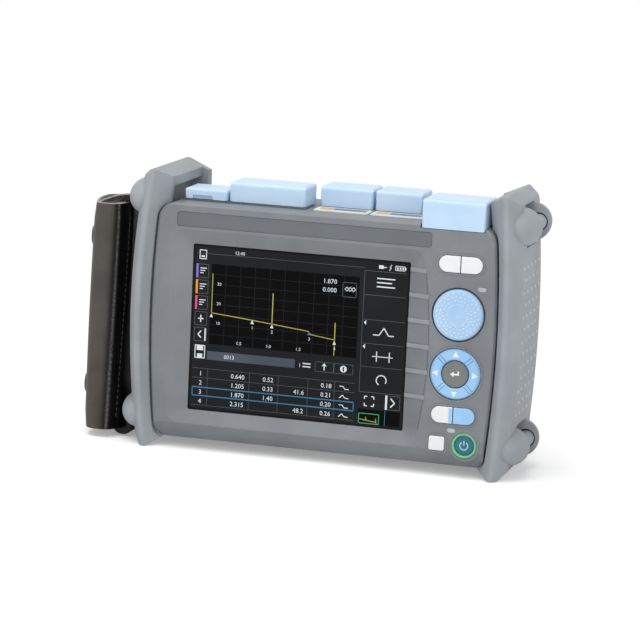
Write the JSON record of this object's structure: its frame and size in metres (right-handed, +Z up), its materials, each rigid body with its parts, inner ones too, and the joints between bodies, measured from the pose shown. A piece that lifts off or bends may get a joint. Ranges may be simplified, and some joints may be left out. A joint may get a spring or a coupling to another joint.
{
  "type": "optical time domain reflectometer",
  "caption": "Handheld optical fibre tester: colour screen with soft keys, push knob, arrow ring, hinged port covers on top, rubber side bumpers, fold-out stand and a padded hand strap.",
  "frame": {"origin": "centre of the underside of the whole instrument, strap included, on the ground plane", "axes": "+X to the right of the screen, +Y from the screen to the back, +Z up"},
  "size_m": [0.2474, 0.0688, 0.148],
  "materials": {
    "grey_housing": "satin",
    "dark_plate": "matt",
    "screen_glass": "clear",
    "dark_plastic": "matt",
    "circuit_board": "semi gloss",
    "aluminium_case": "satin",
    "steel_screw": "satin",
    "bumper_rubber": "matt",
    "white_key": "satin",
    "blue_key": "satin",
    "teal_key": "satin",
    "green_ring": "translucent",
    "grey_key": "satin",
    "pale_blue": "satin",
    "key_rubber": "matt",
    "lamp_lens": "clear",
    "nickel": "satin",
    "white_label": "satin",
    "webbing": "woven",
    "leather": "grained",
    "stud_metal": "gloss"
  },
  "bodies": {
    "instrument": {"front_bezel": "grey_housing", "rear_case": "grey_housing", "battery_door": "grey_housing", "name_plate": "dark_plate", "display_glass": "screen_glass", "lcd_module": "dark_plastic", "main_board": "circuit_board", "key_board": "circuit_board", "optical_module": "aluminium_case", "encoder": "dark_plastic", "case_screws": "steel_screw", "battery_screws": "steel_screw", "bumper_screws": "steel_screw", "stand_pins": "steel_screw", "cover_pins": "steel_screw", "battery_pack": "dark_plastic", "bumper_left": "bumper_rubber", "bumper_right": "bumper_rubber", "power_ring": "green_ring", "key_mat": "key_rubber", "laser_lamp": "lamp_lens", "charge_lamp": "lamp_lens", "socket_surround": "dark_plastic", "inlet_socket": "dark_plastic", "data_socket": "nickel", "mini_socket": "nickel", "label_plates": "white_label", "strap_webbing": "webbing", "hand_pad": "leather", "snap_studs": "stud_metal", "test_port_left": "nickel", "test_port_right": "nickel", "meter_port": "nickel", "light_source_port": "nickel"},
    "key_top_left_body": {"key_top_left": "white_key"},
    "key_top_right_body": {"key_top_right": "white_key"},
    "key_low_left_body": {"key_low_left": "white_key"},
    "key_low_right_body": {"key_low_right": "blue_key"},
    "key_escape_body": {"key_escape": "white_key"},
    "power_key_body": {"power_key": "teal_key"},
    "enter_key_body": {"enter_key": "grey_key"},
    "arrow_ring_body": {"arrow_ring": "blue_key"},
    "knob_shaft_body": {"knob_shaft": "steel_screw"},
    "knob_body": {"knob": "pale_blue"},
    "inlet_cover_body": {"inlet_cover": "pale_blue"},
    "data_cover_body": {"data_cover": "pale_blue"},
    "test_cover_left_body": {"test_cover_left": "pale_blue"},
    "test_cover_right_body": {"test_cover_right": "pale_blue"},
    "meter_cover_body": {"meter_cover": "pale_blue"},
    "rear_stand_body": {"rear_stand": "grey_housing"}
  },
  "joints": [
    {"name": "key_top_left_press", "type": "slide", "parent": "instrument", "child": "key_top_left_body", "axis": [0, 1, 0], "range_m": [0, 0.0005], "stiffness_N_per_m": 400},
    {"name": "key_top_right_press", "type": "slide", "parent": "instrument", "child": "key_top_right_body", "axis": [0, 1, 0], "range_m": [0, 0.0005], "stiffness_N_per_m": 400},
    {"name": "key_low_left_press", "type": "slide", "parent": "instrument", "child": "key_low_left_body", "axis": [0, 1, 0], "range_m": [0, 0.0005], "stiffness_N_per_m": 400},
    {"name": "key_low_right_press", "type": "slide", "parent": "instrument", "child": "key_low_right_body", "axis": [0, 1, 0], "range_m": [0, 0.0005], "stiffness_N_per_m": 400},
    {"name": "key_escape_press", "type": "slide", "parent": "instrument", "child": "key_escape_body", "axis": [0, 1, 0], "range_m": [0, 0.0005], "stiffness_N_per_m": 400},
    {"name": "power_key_press", "type": "slide", "parent": "instrument", "child": "power_key_body", "axis": [0, 1, 0], "range_m": [0, 0.0005], "stiffness_N_per_m": 400},
    {"name": "enter_key_press", "type": "slide", "parent": "instrument", "child": "enter_key_body", "axis": [0, 1, 0], "range_m": [0, 0.0005], "stiffness_N_per_m": 400},
    {"name": "arrow_ring_rock", "type": "hinge", "parent": "instrument", "child": "arrow_ring_body", "pos_m": [0.08559, -0.02445, 0.0545], "axis": [1, 0, 0], "range_deg": [-1.5, 1.5], "stiffness_Nm_per_rad": 0.5},
    {"name": "knob_press", "type": "slide", "parent": "instrument", "child": "knob_shaft_body", "axis": [0, 1, 0], "range_m": [0, 0.0005], "stiffness_N_per_m": 400},
    {"name": "knob_turn", "type": "hinge", "parent": "knob_shaft_body", "child": "knob_body", "pos_m": [0.08559, -0.0281, 0.0855], "axis": [0, -1, 0], "continuous": true},
    {"name": "inlet_cover_hinge", "type": "hinge", "parent": "instrument", "child": "inlet_cover_body", "pos_m": [-0.05706, 0.0054, 0.1338], "axis": [-1, 0, 0], "range_deg": [0, 90]},
    {"name": "data_cover_hinge", "type": "hinge", "parent": "instrument", "child": "data_cover_body", "pos_m": [-0.02356, 0.0069, 0.1338], "axis": [-1, 0, 0], "range_deg": [0, 90]},
    {"name": "test_cover_left_hinge", "type": "hinge", "parent": "instrument", "child": "test_cover_left_body", "pos_m": [0.01494, 0.0234, 0.1338], "axis": [-1, 0, 0], "range_deg": [0, 90]},
    {"name": "test_cover_right_hinge", "type": "hinge", "parent": "instrument", "child": "test_cover_right_body", "pos_m": [0.04344, 0.0234, 0.1338], "axis": [-1, 0, 0], "range_deg": [0, 90]},
    {"name": "meter_cover_hinge", "type": "hinge", "parent": "instrument", "child": "meter_cover_body", "pos_m": [0.08024, -0.0016, 0.1338], "axis": [-1, 0, 0], "range_deg": [0, 90]},
    {"name": "rear_stand_hinge", "type": "hinge", "parent": "instrument", "child": "rear_stand_body", "pos_m": [0.01269, 0.0298, 0.0665], "axis": [1, 0, 0], "range_deg": [0, 40]}
  ]
}
